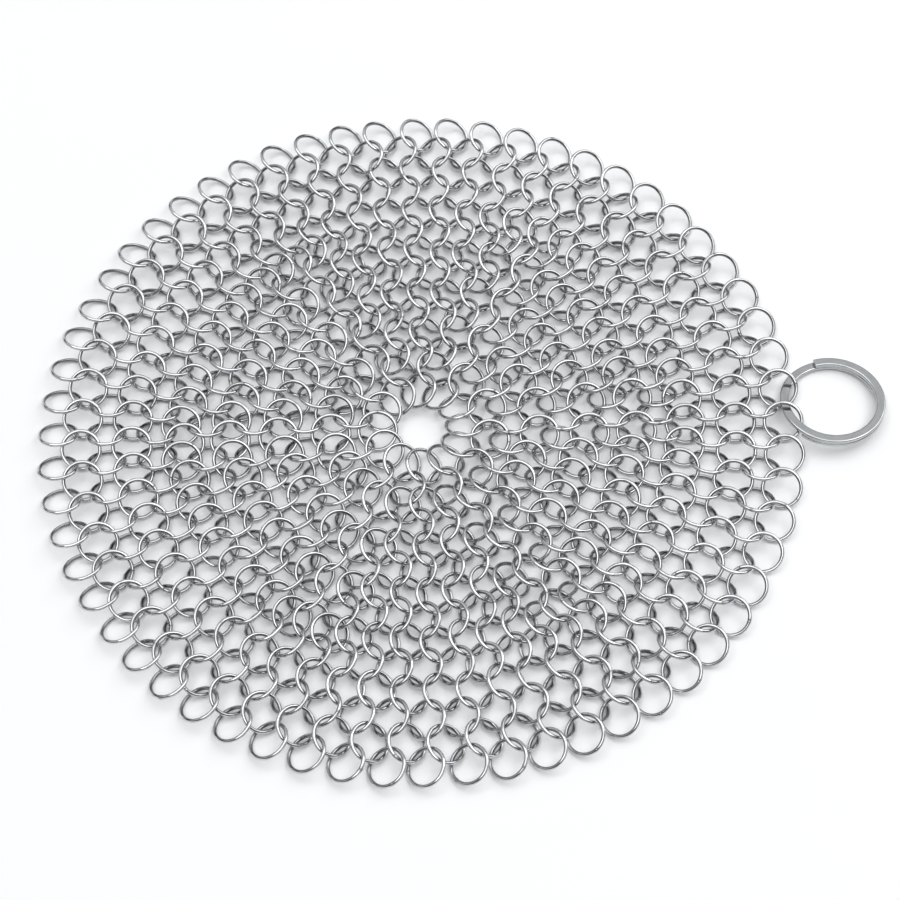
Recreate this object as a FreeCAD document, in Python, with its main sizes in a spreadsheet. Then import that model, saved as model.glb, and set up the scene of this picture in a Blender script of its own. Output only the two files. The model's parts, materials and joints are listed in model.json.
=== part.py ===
"""Round chain-mail pot scrubber: wire links woven in rounds, and a split ring to hang it by.

The mail lies flat on z = 0 with its open centre at the origin. The split ring lies at +X.
"""
import FreeCAD, Part
import cmath
import math
import os

doc = FreeCAD.newDocument("pot_scrubber")

# Driving dimensions: name, value in millimetres or degrees, what it measures
SIZES = (
    ("wire", 0.9, "diameter of the link wire"),
    ("inside", 7.75, "inside diameter of a link"),
    ("mail_height", 4.9, "height of the mail lying flat"),
    ("hole", 10.0, "radius of the innermost round at its link centres"),
    ("round_pitch", 5.95, "longest step from one round to the next"),
    ("play", 0.18, "slack between two links pulled tight"),
    ("round_slack", 0.06, "further slack between two rounds of equal count"),
    ("growth_slack", 0.5, "further slack where a round takes more links"),
    ("loose_gap", 0.15, "gap between links that lie near but aren't joined"),
    ("pile_gap", 1.2, "gap between neighbours of one round, square to their planes"),
    ("ring_outer", 24.2, "outside diameter of the split ring"),
    ("ring_width", 2.1, "width of the ring's flat wire, seen from above"),
    ("coil", 1.0, "thickness of the ring's flat wire"),
    ("slit", 0.1, "gap between the ring's two coils"),
    ("ring_gap", 0.35, "gap between the ring and the link between the hanging links"),
    ("upper_end", 103.0, "angle of the upper coil's cut end round the ring"),
    ("coil_sweep", 238.0, "angle that the two coils run side by side"),
)

# Weave: links in each round from the centre to the rim, in six equal sectors
LINKS_PER_ROUND = (12, 12, 24, 24, 36, 36, 48, 48, 60, 60, 60, 60, 60, 60)
SECTORS = 6
SECTOR_TURN = cmath.exp(2j * math.pi / SECTORS)
PER_SECTOR = [count // SECTORS for count in LINKS_PER_ROUND]
LAST = len(LINKS_PER_ROUND) - 1

# The mail folds on a line through its centre, turned a little from the Y axis
FOLD_SKEW = math.radians(-1.0)

# Settling of the weave: passes with and without evening out, and the share moved in each
EVEN_PASSES = 400
FINAL_PASSES = 120
EVEN_SHARE = 0.15
ROUND_SHARE = 0.1
TIGHT_PASSES = 20

sheet = doc.addObject("Spreadsheet::Sheet", "Sizes")
for row, (alias, value, meaning) in enumerate(SIZES, 1):
    sheet.set(f"A{row}", meaning)
    sheet.set(f"B{row}", str(value))
    sheet.setAlias(f"B{row}", alias)
doc.recompute()


def size(alias):
    """A driving dimension, read from the sheet."""
    return float(sheet.get(alias))


# Link sizes that follow from the driving dimensions
wire = size("wire")
link_radius = (size("inside") + wire) / 2
link_height = size("mail_height") / 2
lean = math.asin((size("mail_height") - wire) / (2 * link_radius))
reach = size("inside") - size("play")
loose_distance = size("inside") + 2 * wire + size("loose_gap")
side_distance = (wire + size("pile_gap")) / math.sin(lean)

# A leaning link reaches less far sideways than along its own axis
sideways_stretch = 1 / math.cos(lean) ** 2


def round_radii():
    """Radius of each round: a full step out, or less where its links pull tight."""
    radii = [size("hole")]
    for n in range(1, LAST + 1):
        inner = radii[-1]
        half_step = math.pi / LINKS_PER_ROUND[n - 1]
        grows = LINKS_PER_ROUND[n] > LINKS_PER_ROUND[n - 1]
        pull = reach - size("growth_slack" if grows else "round_slack")
        tight = inner + pull
        for _ in range(TIGHT_PASSES):
            sideways = sideways_stretch * (inner + tight) / 2 * math.sin(half_step)
            tight = inner + math.sqrt(max(pull ** 2 - sideways ** 2, 0))
        radii.append(min(inner + size("round_pitch"), tight))
    return radii


def mates(n, j):
    """The links of the next round out that link j of round n passes through."""
    if n % 2 == 0:
        return range(j - 1, j + 1)
    if PER_SECTOR[n] == PER_SECTOR[n + 1]:
        return range(j, j + 2)
    first = 0 if j == 0 else j + 1
    last = PER_SECTOR[n + 1] if j == PER_SECTOR[n] - 1 else j + 2
    return range(first, last + 1)


# Link centres of one sector as complex numbers
radii = round_radii()
centres = []
for n, count in enumerate(PER_SECTOR):
    start = n % 2 / 2
    sector_angle = 2 * math.pi / SECTORS
    centres.append([cmath.rect(radii[n], (j + start) * sector_angle / count) for j in range(count)])


def centre(n, k):
    """Centre of link k of round n, counted on from the first sector."""
    turns, j = divmod(k, PER_SECTOR[n])
    return centres[n][j] * SECTOR_TURN ** turns


def shift(n, k, move):
    """Move link k of round n, and its like in each sector."""
    turns, j = divmod(k, PER_SECTOR[n])
    centres[n][j] += move / SECTOR_TURN ** turns


def hold_joined(first, second):
    """Pull two joined links together until each can pass through the other."""
    a = centre(*first)
    b = centre(*second)
    outward = (a + b) / abs(a + b)
    step = (b - a) / outward
    stretch = math.hypot(step.real, sideways_stretch * step.imag)
    if stretch > reach:
        move = (b - a) * (1 - reach / stretch) / 2
        shift(*first, move)
        shift(*second, -move)


def hold_apart(first, second, least):
    """Push two links apart until their centres are at least so far from each other."""
    step = centre(*second) - centre(*first)
    if abs(step) < least:
        move = step / abs(step) * (least - abs(step)) / 2
        shift(*first, -move)
        shift(*second, move)


def even_out(n):
    """Space a round's links more evenly and draw them towards the round's radius."""
    count = PER_SECTOR[n]
    before = [centre(n, k) for k in range(-1, count + 1)]
    for j in range(count):
        here = centres[n][j]
        turn = (cmath.phase(before[j] / here) + cmath.phase(before[j + 2] / here)) / 2
        radius = abs(here) + ROUND_SHARE * (radii[n] - abs(here))
        centres[n][j] = cmath.rect(radius, cmath.phase(here) + EVEN_SHARE * turn)


# Pairs of links: joined, loose neighbours in the next round, and side by side in a round
joined = []
loose = []
beside = []
for n in range(LAST + 1):
    for j in range(PER_SECTOR[n]):
        beside.append(((n, j), (n, j + 1)))
        if n < LAST:
            held = mates(n, j)
            joined += [((n, j), (n + 1, k)) for k in held]
            around = range(held[0] - 2, held[-1] + 3)
            loose += [((n, j), (n + 1, k)) for k in around if k not in held]

for settle in range(EVEN_PASSES + FINAL_PASSES):
    if settle < EVEN_PASSES:
        for n in range(LAST + 1):
            even_out(n)
    for first, second in loose:
        hold_apart(first, second, loose_distance)
    for first, second in beside:
        hold_apart(first, second, side_distance)
    for first, second in joined:
        hold_joined(first, second)

# The links that each link passes through, all round the mail
inner_mates = {}
outer_mates = {}
for (n, j), (_, k) in joined:
    for sector in range(SECTORS):
        inner = (n, (j + sector * PER_SECTOR[n]) % LINKS_PER_ROUND[n])
        outer = (n + 1, (k + sector * PER_SECTOR[n + 1]) % LINKS_PER_ROUND[n + 1])
        outer_mates.setdefault(inner, []).append(outer)
        inner_mates.setdefault(outer, []).append(inner)


def mean_centre(links):
    """Middle of some links' centres."""
    return sum(centre(*link) for link in links) / len(links)


def link_placement(link):
    """Place of a link: it leans on the line from its inner mates to its outer ones."""
    here = centre(*link)
    outward = mean_centre(outer_mates.get(link, [link])) - mean_centre(inner_mates.get(link, [link]))
    outward /= abs(outward)
    lift = math.sin(lean) if link[0] % 2 else -math.sin(lean)
    along = FreeCAD.Vector(outward.real, outward.imag, 0)
    across = FreeCAD.Vector(-outward.imag * math.cos(lean), outward.real * math.cos(lean), lift)
    turn = FreeCAD.Rotation(along, across, along.cross(across), "XYZ")
    return FreeCAD.Placement(FreeCAD.Vector(here.real, here.imag, link_height), turn)


def make_link(link, label):
    """One closed round wire link."""
    ring = doc.addObject("Part::Torus", label)
    ring.Label = label
    ring.setExpression("Radius1", "(Sizes.inside + Sizes.wire) / 2")
    ring.setExpression("Radius2", "Sizes.wire / 2")
    ring.Placement = link_placement(link)
    return ring


def on_ring_side(link):
    """Whether a link lies on the split ring's side of the fold."""
    return (centre(*link) * cmath.exp(1j * FOLD_SKEW)).real > 0


def make_half_round(label, links):
    """The links of one round on one side of the fold."""
    half = doc.addObject("Part::Compound", label)
    half.Label = label
    half.Links = [make_link(link, f"{label}_link_{at:02d}") for at, link in enumerate(links, 1)]
    return half


# Mail: each round in two halves, and the two rim links that hold the ring
hanging = {"hanging_link_left": (LAST, 0), "hanging_link_right": (LAST, LINKS_PER_ROUND[LAST] - 1)}
nodes = []
for n, count in enumerate(LINKS_PER_ROUND):
    woven = [(n, k) for k in range(count) if (n, k) not in hanging.values()]
    ring_side = [link for link in woven if on_ring_side(link)]
    far_side = [link for link in woven if not on_ring_side(link)]
    nodes.append(make_half_round(f"ring_side_round_{n + 1:02d}", ring_side))
    nodes.append(make_half_round(f"far_side_round_{n + 1:02d}", far_side))
for label, link in hanging.items():
    nodes.append(make_link(link, label))

# Split ring: two coils of flat wire, and the stretch that steps from one coil to the other
ring_radius = size("ring_outer") / 2
wire_middle = ring_radius - size("ring_width") / 2
coil_level = (size("coil") + size("slit")) / 2
upper_end = size("upper_end")
step_sweep = 360 - size("coil_sweep")
STEP_SECTIONS = 12
STEP_OVERRUN = 4.0


def wire_section(label, angle, level, width, height):
    """Upright rectangle across the ring's wire, at an angle round the ring."""
    section = doc.addObject("Part::Plane", label)
    section.setExpression("Length", width)
    section.setExpression("Width", height)
    doc.recompute([section])
    upright = FreeCAD.Rotation(FreeCAD.Vector(1, 0, 0), 90)
    corner = FreeCAD.Vector(wire_middle - section.Length.Value / 2, 0, level - section.Width.Value / 2)
    round_ring = FreeCAD.Placement(FreeCAD.Vector(), FreeCAD.Rotation(FreeCAD.Vector(0, 0, 1), angle))
    section.Placement = round_ring.multiply(FreeCAD.Placement(corner, upright))
    return section


def make_arc(label, section, sweep):
    """A length of flat wire bent round the ring's axis."""
    arc = doc.addObject("Part::Revolution", label)
    arc.Source = section
    arc.Axis = FreeCAD.Vector(0, 0, 1)
    arc.Base = FreeCAD.Vector()
    arc.setExpression("Angle", sweep)
    arc.Solid = True
    return arc


def step_level(share):
    """Height of the wire's middle along the step, from the lower coil to the upper one."""
    return -coil_level * math.cos(math.pi * min(max(share, 0), 1))


def make_step():
    """The stretch that climbs from the lower coil to the upper one."""
    overrun = STEP_OVERRUN / step_sweep
    shares = [-overrun] + [at / STEP_SECTIONS for at in range(STEP_SECTIONS + 1)] + [1 + overrun]
    sections = []
    for at, share in enumerate(shares):
        angle = upper_end + share * step_sweep
        sections.append(wire_section(f"step_section_{at}", angle, step_level(share),
                                     "Sizes.ring_width * 2", "Sizes.coil"))
    slope = doc.addObject("Part::Loft", "step_slope")
    slope.Sections = sections
    slope.Solid = True
    slope.Ruled = True
    blank = wire_section("step_blank_section", upper_end, 0, "Sizes.ring_width", "Sizes.coil * 4")
    step = doc.addObject("Part::Common", "step")
    step.Base = make_arc("step_blank", blank, "360 - Sizes.coil_sweep")
    step.Tool = slope
    return step


def ring_placement():
    """Place of the ring: its left edge on the table, its wire at the middle of the hanging links."""
    half_height = size("slit") / 2 + size("coil")
    tilt = math.asin((link_height - half_height) / ring_radius)
    tip = centre(LAST - 1, 0).real + link_radius + wire / 2
    height = half_height * math.cos(tilt) + ring_radius * math.sin(tilt)
    middle = FreeCAD.Vector(tip + size("ring_gap") + ring_radius, 0, height)
    return FreeCAD.Placement(middle, FreeCAD.Rotation(FreeCAD.Vector(1, 0, 0), -math.degrees(tilt)))


coil_start = upper_end + step_sweep
coils = []
for label, level in (("upper_coil", coil_level), ("lower_coil", -coil_level)):
    section = wire_section(f"{label}_section", coil_start, level, "Sizes.ring_width", "Sizes.coil")
    coils.append(make_arc(label, section, "Sizes.coil_sweep"))
split_ring = doc.addObject("Part::MultiFuse", "split_ring")
split_ring.Label = "split_ring"
split_ring.Shapes = [coils[0], make_step(), coils[1]]
doc.recompute()
split_ring.Placement = ring_placement()
nodes.append(split_ring)
doc.recompute()

# Every object has to be whole before anything is written
for thing in doc.Objects:
    if "Invalid" in thing.State or "Error" in thing.State:
        raise RuntimeError(f"{thing.Label} did not build: {thing.State}")
for node in nodes:
    if node.Shape.isNull() or not node.Shape.isValid():
        raise RuntimeError(f"{node.Label} has no valid shape")

wire_turns = (2 * size("coil_sweep") + step_sweep) / 360
wire_volume = size("ring_width") * size("coil") * 2 * math.pi * wire_middle * wire_turns
print(f"split ring: {len(split_ring.Shape.Solids)} solid, volume {split_ring.Shape.Volume:.2f},"
      f" section times length {wire_volume:.2f}")

os.makedirs("parts", exist_ok=True)
for node in nodes:
    node.Shape.exportStep(f"parts/{node.Label}.step")
print(f"{len(nodes)} nodes, {sum(len(node.Shape.Solids) for node in nodes)} solids,"
      f" rim radius {abs(centre(LAST, 0)) + link_radius + wire / 2:.2f}")
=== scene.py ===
"""Looks of a round chain-mail pot scrubber: drawn wire links and a split ring of flat wire."""
import json
import math
import bpy
import numpy as np
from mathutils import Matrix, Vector


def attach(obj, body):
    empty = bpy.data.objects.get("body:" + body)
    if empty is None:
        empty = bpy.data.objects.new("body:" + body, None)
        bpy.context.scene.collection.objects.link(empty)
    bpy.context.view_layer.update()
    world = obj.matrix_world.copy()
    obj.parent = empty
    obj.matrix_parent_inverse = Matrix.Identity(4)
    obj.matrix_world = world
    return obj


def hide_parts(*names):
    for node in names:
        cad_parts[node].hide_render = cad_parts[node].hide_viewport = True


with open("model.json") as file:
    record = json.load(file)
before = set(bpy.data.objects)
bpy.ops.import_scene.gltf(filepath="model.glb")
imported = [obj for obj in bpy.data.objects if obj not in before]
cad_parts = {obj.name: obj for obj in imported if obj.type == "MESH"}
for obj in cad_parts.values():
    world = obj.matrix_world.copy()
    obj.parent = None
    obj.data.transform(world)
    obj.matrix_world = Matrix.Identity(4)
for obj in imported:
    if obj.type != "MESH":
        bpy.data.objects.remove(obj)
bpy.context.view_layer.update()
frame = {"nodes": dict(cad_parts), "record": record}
record = frame["record"]
MM = 0.001

# Names that the meshes and their materials share
RUN_MAP = "run_of_wire"
TONE = "link_tone"
WELD = "weld_heat"
# Share of painted shade on the inward side of each link's wire
INNER_PAINTED_SHADE = "inner_side"

# Link mesh: points round the wire, and the longest step along it in millimetres
POINTS_ROUND_WIRE = 10
LONGEST_STEP = 0.6

# Chance: one seed, and the least and greatest draw for each link's turn, tone, weld size,
# weld offset and place in its pattern
SEED = 14
LEAST_DRAW = (0, 0, 0.3, -1, 0)
GREATEST_DRAW = (1, 1, 1, 1, 1)
PATTERN_SHIFT = 100

# Butt weld, in millimetres: distance from the joint along the wire, with the swelling and the
# share of heat mark there, and how far the two wire ends miss each other
WELD_RUN = (0.0, 0.06, 0.15, 0.32, 0.65, 1.1)
WELD_SWELL = (-0.03, 0.005, 0.035, 0.03, 0.012, 0.0)
WELD_HEAT = (1.0, 0.9, 0.8, 0.5, 0.2, 0.0)
WELD_OFFSET = 0.03
WELD_OFFSET_RUN = 1.2
WELD_ROUGHNESS = 0.2

# Patterns on the wire, in millimetres: length along it and width across it
DRAW_LINES = (9.0, 0.16)
TUMBLED_PATCHES = (2.0, 1.2)
ROLLED_GRAIN = (6.0, 0.14)
SCUFFS = (3.0, 0.9)
PATTERN_DEPTH = 0.02

# Split ring: what its outline doesn't give, in millimetres and degrees
RING_SLIT = 0.1
RING_CORNER = 0.33
RING_CHAMFER = 0.12
RING_UPPER_END = 103.0
RING_COIL_SWEEP = 238.0
RING_STEP_ANGLE = 2.0
CORNER_POINTS = 5
CORNER_SUPPORT = 0.05

# Camera, as found from the outline of the mail and the ring in the picture
VIEW_AZIMUTH = math.radians(-4.214)
VIEW_ELEVATION = math.radians(61.175)
VIEW_DISTANCE = 540.0
AIM_RIGHT = 6.578
AIM_FORWARD = -4.365
LENS = 94.46
SENSOR = 36.0

# Room: brightness by height, from the horizon at 0 to overhead at 1, on its two sides
SKY_TINT = "#fbfdff"
CAMERA_SIDE = ((0.0, 1.0), (0.17, 1.0), (0.22, 0.03), (0.4, 0.05), (0.6, 0.1),
               (0.79, 0.16), (0.87, 2.6), (0.93, 2.5), (0.97, 1.3))
BACK_WALL = ((0.0, 1.0), (0.17, 1.0), (0.22, 0.03), (0.36, 0.05), (0.52, 0.72),
             (0.79, 0.76), (0.87, 2.6), (0.93, 2.5), (0.97, 1.3))
SIDES_BLEND = 0.35

# Table and key lamp, in metres and watts
TABLE_RADIUS = 8.0
TABLE_POINTS = 96
KEY_PLACE = (0.75, 0.35, 0.8)
KEY_WIDTH = 0.7
KEY_WATTS = 2.5


def linear(hex_colour):
    """Linear colour of an sRGB hex value."""
    channels = [int(hex_colour[at:at + 2], 16) / 255 for at in (1, 3, 5)]
    return [c / 12.92 if c <= 0.04045 else ((c + 0.055) / 1.055) ** 2.4 for c in channels] + [1.0]


def add_node(tree, kind, inputs=None, **settings):
    """Add a node with its settings, and give its sockets values or links."""
    node = tree.nodes.new(kind)
    for name, value in settings.items():
        setattr(node, name, value)
    for name, value in (inputs or {}).items():
        if isinstance(value, bpy.types.NodeSocket):
            tree.links.new(value, node.inputs[name])
        else:
            node.inputs[name].default_value = value
    return node


def new_material(name):
    """An empty material and its node tree."""
    material = bpy.data.materials.new(name)
    material.use_nodes = True
    material.node_tree.nodes.clear()
    return material, material.node_tree


def drawn_stainless_wire():
    """Stainless steel wire, cold drawn, welded into links and tumbled.

    It mirrors the room brightly. Draw lines run along the wire, the tone differs a little
    from link to link, the inward side of each link carries painted shade, and each weld has a
    grey-brown heat mark.
    """
    material, tree = new_material("drawn_stainless_wire")
    run = add_node(tree, "ShaderNodeUVMap", uv_map=RUN_MAP).outputs["UV"]

    # Draw lines are some hundredths of a millimetre wide, drawn wider so that they show
    lines_at = add_node(tree, "ShaderNodeMapping",
                        {"Vector": run, "Scale": (1 / DRAW_LINES[0], 1 / DRAW_LINES[1], 1)})
    lines = add_node(tree, "ShaderNodeTexNoise",
                     {"Vector": lines_at.outputs["Vector"], "Scale": 1.0, "Detail": 3.0,
                      "Roughness": 0.6})

    # Tumbling leaves patches that are a little brighter or duller
    patches_at = add_node(tree, "ShaderNodeMapping",
                          {"Vector": run,
                           "Scale": (1 / TUMBLED_PATCHES[0], 1 / TUMBLED_PATCHES[1], 1)})
    patches = add_node(tree, "ShaderNodeTexNoise",
                       {"Vector": patches_at.outputs["Vector"], "Scale": 1.0, "Detail": 4.0})

    tone = add_node(tree, "ShaderNodeAttribute", attribute_name=TONE).outputs["Fac"]
    heat = add_node(tree, "ShaderNodeAttribute", attribute_name=WELD).outputs["Fac"]
    steel = add_node(tree, "ShaderNodeMix",
                     {"Factor": tone, "A": linear("#cacbcc"), "B": linear("#dfe0e1")},
                     data_type="RGBA")
    worn = add_node(tree, "ShaderNodeMapRange",
                    {"Value": patches.outputs["Fac"], "From Min": 0.35, "From Max": 0.7,
                     "To Max": 0.35})
    patched = add_node(tree, "ShaderNodeMix",
                       {"Factor": worn.outputs["Result"], "A": steel.outputs["Result"],
                        "B": linear("#a4a7a9")}, data_type="RGBA")

    # Painted shade: the colour darkens towards the inward side of each link's wire, where the
    # links shade each other
    inner = add_node(tree, "ShaderNodeAttribute", attribute_name=INNER_PAINTED_SHADE).outputs["Fac"]
    painted_shade_amount = add_node(tree, "ShaderNodeMapRange",
                    {"Value": inner, "From Min": 0.4, "From Max": 0.9, "To Max": 0.65},
                    interpolation_type="SMOOTHSTEP")
    with_painted_shade = add_node(tree, "ShaderNodeMix",
                      {"Factor": painted_shade_amount.outputs["Result"], "A": patched.outputs["Result"],
                       "B": linear("#585a5c")}, data_type="RGBA")
    colour = add_node(tree, "ShaderNodeMix",
                      {"Factor": heat, "A": with_painted_shade.outputs["Result"], "B": linear("#8c8780")},
                      data_type="RGBA")

    line_gloss = add_node(tree, "ShaderNodeMapRange",
                          {"Value": lines.outputs["Fac"], "From Min": 0.3, "From Max": 0.7,
                           "To Min": 0.04, "To Max": 0.1})
    gloss = add_node(tree, "ShaderNodeMath",
                     {0: heat, 1: WELD_ROUGHNESS, 2: line_gloss.outputs["Result"]},
                     operation="MULTIPLY_ADD")
    bump = add_node(tree, "ShaderNodeBump",
                    {"Height": lines.outputs["Fac"], "Strength": 0.25,
                     "Distance": PATTERN_DEPTH * MM})
    shader = add_node(tree, "ShaderNodeBsdfPrincipled",
                      {"Base Color": colour.outputs["Result"], "Metallic": 1.0,
                       "Roughness": gloss.outputs["Value"], "Normal": bump.outputs["Normal"]})
    add_node(tree, "ShaderNodeOutputMaterial", {"Surface": shader.outputs["BSDF"]})
    return material


def rolled_stainless_flat_wire():
    """Stainless steel flat wire, rolled, coiled and polished in a barrel.

    Its flat faces mirror the room a little softly, with a fine grain along the wire, and
    its rounded edges catch a bright line.
    """
    material, tree = new_material("rolled_stainless_flat_wire")
    run = add_node(tree, "ShaderNodeUVMap", uv_map=RUN_MAP).outputs["UV"]

    # Rolling grain is a few hundredths of a millimetre wide, drawn wider so that it shows
    grain_at = add_node(tree, "ShaderNodeMapping",
                        {"Vector": run, "Scale": (1 / ROLLED_GRAIN[0], 1 / ROLLED_GRAIN[1], 1)})
    grain = add_node(tree, "ShaderNodeTexNoise",
                     {"Vector": grain_at.outputs["Vector"], "Scale": 1.0, "Detail": 4.0,
                      "Roughness": 0.65})

    # Keys and hooks leave short scuffs across the faces
    scuffs_at = add_node(tree, "ShaderNodeMapping",
                         {"Vector": run, "Scale": (1 / SCUFFS[0], 1 / SCUFFS[1], 1)})
    scuffs = add_node(tree, "ShaderNodeTexNoise",
                      {"Vector": scuffs_at.outputs["Vector"], "Scale": 1.0, "Detail": 5.0})
    scuffed = add_node(tree, "ShaderNodeMapRange",
                       {"Value": scuffs.outputs["Fac"], "From Min": 0.3, "From Max": 0.7})
    colour = add_node(tree, "ShaderNodeMix",
                      {"Factor": scuffed.outputs["Result"], "A": linear("#b6b8b9"),
                       "B": linear("#c3c4c4")}, data_type="RGBA")
    gloss = add_node(tree, "ShaderNodeMapRange",
                     {"Value": grain.outputs["Fac"], "From Min": 0.3, "From Max": 0.7,
                      "To Min": 0.07, "To Max": 0.16})
    bump = add_node(tree, "ShaderNodeBump",
                    {"Height": grain.outputs["Fac"], "Strength": 0.2,
                     "Distance": PATTERN_DEPTH * MM})
    shader = add_node(tree, "ShaderNodeBsdfPrincipled",
                      {"Base Color": colour.outputs["Result"], "Metallic": 1.0,
                       "Roughness": gloss.outputs["Result"], "Normal": bump.outputs["Normal"]})
    add_node(tree, "ShaderNodeOutputMaterial", {"Surface": shader.outputs["BSDF"]})
    return material


def matt_white_laminate():
    """White laminate table top, pressed matt: an even white that takes a soft shadow."""
    material, tree = new_material("matt_white_laminate")
    shader = add_node(tree, "ShaderNodeBsdfPrincipled",
                      {"Base Color": linear("#fdfdfd"), "Roughness": 0.9,
                       "Specular IOR Level": 0.0})
    add_node(tree, "ShaderNodeOutputMaterial", {"Surface": shader.outputs["BSDF"]})
    return material


def solid_points(node):
    """Points of each separate solid in a CAD node, in millimetres."""
    mesh = frame["nodes"][node].data
    points = np.empty(len(mesh.vertices) * 3, np.float32)
    mesh.vertices.foreach_get("co", points)
    points = points.reshape(-1, 3).astype(float) / MM
    ends = np.empty(len(mesh.edges) * 2, np.int32)
    mesh.edges.foreach_get("vertices", ends)
    ends = np.sort(ends.reshape(-1, 2), axis=1)
    # A new solid starts where no edge leads back to an earlier point
    crossing = np.zeros(len(points) + 1, int)
    np.add.at(crossing, ends[:, 0] + 1, 1)
    np.add.at(crossing, ends[:, 1] + 1, -1)
    starts = np.flatnonzero(np.cumsum(crossing)[:-1] == 0)
    return np.split(points, starts[1:])


def link_measures(points):
    """Centre, axis, middle radius and wire diameter of a round link."""
    middle = points.mean(axis=0)
    axes = np.linalg.eigh(np.cov((points - middle).T))[1].T
    along = (points - middle) @ axes.T
    low = along.min(axis=0)
    high = along.max(axis=0)
    wire = high[0] - low[0]
    outside = (high[1:] - low[1:]).mean()
    return middle + (low + high) / 2 @ axes, axes[0], (outside - wire) / 2, wire


def grid_faces(stations, around, closed):
    """Four-sided faces of a tube, as point numbers and as steps along and round it."""
    runs = stations if closed else stations - 1
    at, turn = np.meshgrid(np.arange(runs), np.arange(around), indexing="ij")
    steps = np.stack([[at, at + 1, at + 1, at], [turn, turn, turn + 1, turn + 1]], axis=-1)
    steps = steps.transpose(1, 2, 0, 3).reshape(-1, 4, 2)
    numbers = steps[:, :, 0] % stations * around + steps[:, :, 1] % around
    return numbers, steps


def make_piece(name, points, faces, runs, material):
    """A smooth mesh with points in millimetres, and the run of its wire as its map."""
    mesh = bpy.data.meshes.new(name)
    mesh.from_pydata((points * MM).tolist(), [], faces)
    mesh.shade_smooth()
    mesh.uv_layers.new(name=RUN_MAP).data.foreach_set("uv", runs.astype(np.float32).ravel())
    mesh.materials.append(material)
    piece = bpy.data.objects.new(name, mesh)
    bpy.context.scene.collection.objects.link(piece)
    return piece


def add_values(piece, name, values):
    """Store a number at each point of a piece for its material."""
    store = piece.data.attributes.new(name, "FLOAT", "POINT")
    store.data.foreach_set("value", values.astype(np.float32))


def link_runs(length):
    """Places along a link's wire, measured from its weld, closest together at the weld."""
    plain = np.arange(1, math.ceil((length / 2 - WELD_RUN[-1]) / LONGEST_STEP))
    side = np.concatenate([WELD_RUN, WELD_RUN[-1] + plain * LONGEST_STEP])
    return np.concatenate([-side[:0:-1], side])


def make_links(node, chance, material):
    """The wire links of a CAD node, each with its weld somewhere round it."""
    points = []
    runs_map = []
    faces = []
    tones = []
    heats = []
    round_wire = np.arange(POINTS_ROUND_WIRE) / POINTS_ROUND_WIRE * 2 * math.pi
    for solid in solid_points(node):
        centre, axis, radius, wire = link_measures(solid)
        side = np.cross(axis, (1.0, 0.0, 0.0))
        side /= np.linalg.norm(side)
        across = np.cross(axis, side)
        turn, tone, swell, offset, shift = chance.uniform(LEAST_DRAW, GREATEST_DRAW)
        length = 2 * math.pi * radius
        runs = link_runs(length)
        angle = (runs / length + turn) * 2 * math.pi
        outward = np.outer(np.cos(angle), side) + np.outer(np.sin(angle), across)
        thick = wire / 2 + swell * np.interp(abs(runs), WELD_RUN, WELD_SWELL)
        sideways = offset * WELD_OFFSET * np.sign(runs) * np.exp(-abs(runs) / WELD_OFFSET_RUN)
        out = radius + np.outer(thick, np.cos(round_wire))
        up = sideways[:, None] + np.outer(thick, np.sin(round_wire))
        link = centre + out[:, :, None] * outward[:, None, :] + up[:, :, None] * axis

        numbers, steps = grid_faces(len(runs), POINTS_ROUND_WIRE, closed=True)
        run_at = np.append(runs, runs[0] + length) + shift * PATTERN_SHIFT
        round_at = np.arange(POINTS_ROUND_WIRE + 1) / POINTS_ROUND_WIRE * math.pi * wire
        runs_map.append(np.stack([run_at[steps[:, :, 0]], round_at[steps[:, :, 1]]], axis=-1))
        faces.append(numbers + len(points) * len(runs) * POINTS_ROUND_WIRE)
        points.append(link.reshape(-1, 3))
        tones.append(np.full(len(points[-1]), tone))
        heat = swell * np.interp(abs(runs), WELD_RUN, WELD_HEAT)
        heats.append(np.repeat(heat, POINTS_ROUND_WIRE))
    piece = make_piece(f"{node}_wire", np.concatenate(points), np.concatenate(faces).tolist(),
                       np.concatenate(runs_map), material)
    add_values(piece, TONE, np.concatenate(tones))
    add_values(piece, WELD, np.concatenate(heats))
    # Painted shade: its share grows towards the inward side of each link's wire
    inner = (1 - np.cos(round_wire)) / 2
    add_values(piece, INNER_PAINTED_SHADE, np.resize(inner, len(piece.data.vertices)))
    return piece


def rounded_section(width, height):
    """Outline of the flat wire, its corners rounded, with a support point beside each arc."""
    outline = []
    reach = np.array((width / 2 - RING_CORNER, height / 2 - RING_CORNER))
    arc = np.linspace(0, math.pi / 2, CORNER_POINTS)
    for corner, signs in enumerate(((1, 1), (-1, 1), (-1, -1), (1, -1))):
        angles = arc + corner * math.pi / 2
        bend = np.stack([np.cos(angles), np.sin(angles)], axis=1) * RING_CORNER
        tangents = np.stack([-np.sin(angles), np.cos(angles)], axis=1) * CORNER_SUPPORT
        middle = reach * signs
        outline.append(middle + bend[:1] - tangents[:1])
        outline.append(middle + bend)
        outline.append(middle + bend[-1:] + tangents[-1:])
    return np.concatenate(outline)


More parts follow.
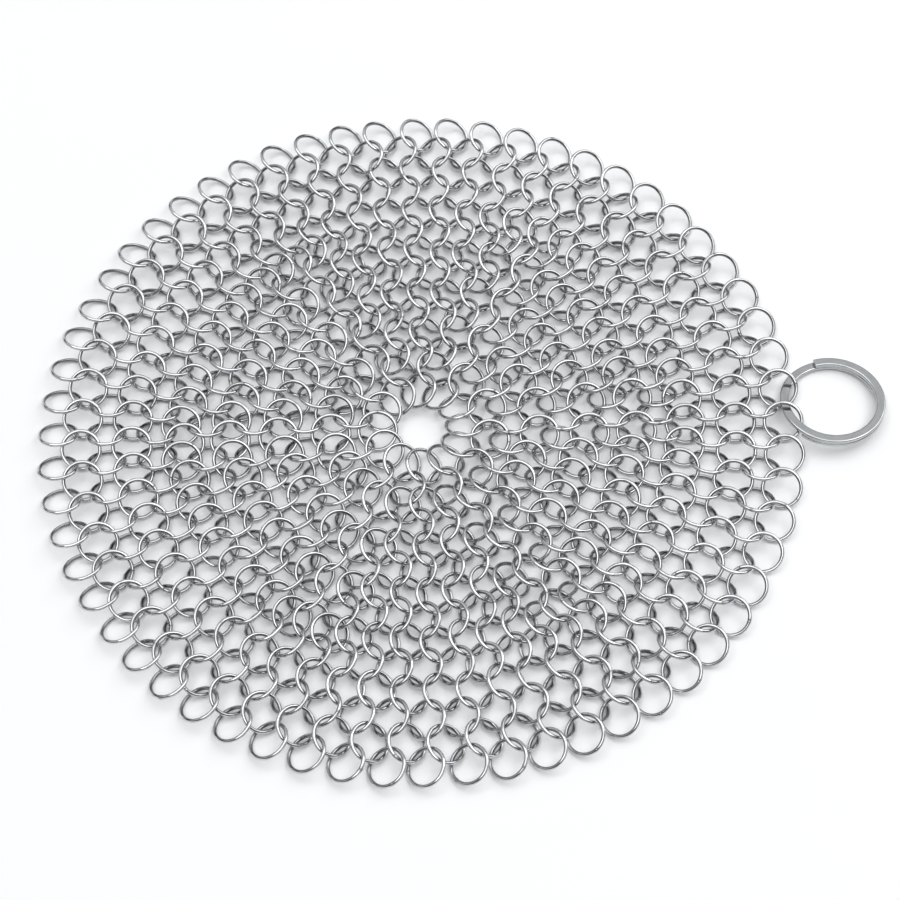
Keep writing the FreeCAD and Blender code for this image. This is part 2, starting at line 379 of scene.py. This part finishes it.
def make_split_ring(node, material):
    """The split ring: its wire runs round on the upper coil, steps down and runs round below."""
    mount = next(mount for mount in record["mounts"] if mount["name"] == "hanging_ring")
    centre = np.array(mount["pos_m"]) / MM
    axis = np.array(mount["axis"]) / np.linalg.norm(mount["axis"])
    across = np.cross(axis, (1.0, 0.0, 0.0))
    across /= np.linalg.norm(across)
    side = np.cross(across, axis)

    # The solid gives the flat wire's width, height and middle radius
    solid = np.concatenate(solid_points(node)) - centre
    level = solid @ axis
    distance = np.linalg.norm(solid - np.outer(level, axis), axis=1)
    width = distance.max() - distance.min()
    middle = (distance.max() + distance.min()) / 2
    height = (level.max() - level.min() - RING_SLIT) / 2
    coil_level = (height + RING_SLIT) / 2

    # Sections along the wire, drawn in at both cut ends to bevel them
    sweep = 360 + RING_COIL_SWEEP
    bevel = math.degrees(RING_CHAMFER / middle)
    even = np.linspace(bevel, sweep - bevel, round(sweep / RING_STEP_ANGLE))
    travel = np.concatenate([[0.0], even, [sweep]])
    step_share = np.clip((travel - RING_COIL_SWEEP) / (360 - RING_COIL_SWEEP), 0, 1)
    levels = coil_level * np.cos(math.pi * step_share)
    angles = np.radians(RING_UPPER_END - travel)
    outward = np.outer(np.cos(angles), side) + np.outer(np.sin(angles), across)
    full = rounded_section(width, height)
    drawn_in = full * (1 - 2 * RING_CHAMFER / np.array((width, height)))
    sections = np.stack([drawn_in] + [full] * len(even) + [drawn_in])
    out = middle + sections[:, :, 0]
    up = levels[:, None] + sections[:, :, 1]
    points = centre + out[:, :, None] * outward[:, None, :] + up[:, :, None] * axis

    # The wire's sides, then its two flat ends
    around = len(full)
    numbers, steps = grid_faces(len(travel), around, closed=False)
    first_end = list(range(around))
    last_end = [(len(travel) - 1) * around + at for at in range(around)][::-1]
    faces = numbers[:, ::-1].tolist() + [first_end, last_end]
    run_at = np.radians(travel) * middle
    edges = np.linalg.norm(np.roll(full, -1, axis=0) - full, axis=1)
    round_at = np.concatenate([[0.0], np.cumsum(edges)])
    sides_map = np.stack([run_at[steps[:, :, 0]], round_at[steps[:, :, 1]]], axis=-1)
    runs = np.concatenate([sides_map[:, ::-1].reshape(-1, 2), full, full[::-1]])
    piece = make_piece(f"{node}_flat_wire", points.reshape(-1, 3), faces, runs, material)
    for end in piece.data.polygons[-2:]:
        end.use_smooth = False
    return piece


def make_table():
    """The round table top that the mail lies on."""
    angles = np.arange(TABLE_POINTS) / TABLE_POINTS * 2 * math.pi
    rim = [(math.cos(angle) * TABLE_RADIUS, math.sin(angle) * TABLE_RADIUS, 0)
           for angle in angles]
    mesh = bpy.data.meshes.new("table_top")
    mesh.from_pydata(rim, [], [list(range(TABLE_POINTS))])
    mesh.materials.append(matt_white_laminate())
    table = bpy.data.objects.new("table_top", mesh)
    bpy.context.scene.collection.objects.link(table)


def light_room():
    """A studio with a pale horizon, a dark camera side, a grey back wall and a bright ceiling.

    The ceiling is less bright straight overhead, so that the ring's flat face stays grey
    from above too.
    """
    world = bpy.data.worlds.new("studio")
    bpy.context.scene.world = world
    world.use_nodes = True
    tree = world.node_tree
    tree.nodes.clear()
    place = add_node(tree, "ShaderNodeTexCoord")
    part = add_node(tree, "ShaderNodeSeparateXYZ", {"Vector": place.outputs["Generated"]})
    to_back = add_node(tree, "ShaderNodeMapRange",
                       {"Value": part.outputs["Y"], "From Min": -SIDES_BLEND,
                        "From Max": SIDES_BLEND}, interpolation_type="SMOOTHSTEP")
    sides = []
    for stops in (CAMERA_SIDE, BACK_WALL):
        ramp = add_node(tree, "ShaderNodeValToRGB", {"Fac": part.outputs["Z"]})
        ramp.color_ramp.interpolation = "EASE"
        while len(ramp.color_ramp.elements) < len(stops):
            ramp.color_ramp.elements.new(1.0)
        for element, (height, value) in zip(ramp.color_ramp.elements, stops):
            element.position = height
            element.color = [value * channel for channel in linear(SKY_TINT)[:3]] + [1]
        sides.append(ramp.outputs["Color"])
    room = add_node(tree, "ShaderNodeMix",
                    {"Factor": to_back.outputs["Result"], "A": sides[0], "B": sides[1]},
                    data_type="RGBA")
    sky = add_node(tree, "ShaderNodeBackground",
                   {"Color": room.outputs["Result"], "Strength": 1.0})
    add_node(tree, "ShaderNodeOutputWorld", {"Surface": sky.outputs["Background"]})


def add_key_softbox():
    """A square area lamp that faces the middle of the mail."""
    lamp = bpy.data.lights.new("key_softbox", "AREA")
    lamp.size = KEY_WIDTH
    lamp.energy = KEY_WATTS
    softbox = bpy.data.objects.new("key_softbox", lamp)
    softbox.location = KEY_PLACE
    softbox.rotation_euler = (-Vector(KEY_PLACE)).to_track_quat("-Z", "Y").to_euler()
    bpy.context.scene.collection.objects.link(softbox)


def add_camera():
    """Camera at the picture's angle."""
    right = Vector((math.cos(VIEW_AZIMUTH), math.sin(VIEW_AZIMUTH), 0))
    forward = Vector((-math.sin(VIEW_AZIMUTH), math.cos(VIEW_AZIMUTH), 0))
    aim = (right * AIM_RIGHT + forward * AIM_FORWARD) * MM
    back = Vector((0, 0, math.sin(VIEW_ELEVATION))) - forward * math.cos(VIEW_ELEVATION)
    lens = bpy.data.cameras.new("camera")
    lens.lens = LENS
    lens.sensor_width = SENSOR
    camera = bpy.data.objects.new("camera", lens)
    camera.location = aim + back * VIEW_DISTANCE * MM
    camera.rotation_euler = (-back).to_track_quat("-Z", "Y").to_euler()
    bpy.context.scene.collection.objects.link(camera)
    bpy.context.scene.camera = camera


# The object: every node's solids are replaced by finished wire
link_steel = drawn_stainless_wire()
ring_steel = rolled_stainless_flat_wire()
chance = np.random.default_rng(SEED)
for body, nodes in record["behaviour"]["bodies"].items():
    for node in nodes:
        if node == "split_ring":
            piece = make_split_ring(node, ring_steel)
        else:
            piece = make_links(node, chance, link_steel)
        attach(piece, body)
        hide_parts(node)

make_table()
light_room()
add_key_softbox()
add_camera()
bpy.context.scene.view_settings.view_transform = "Standard"
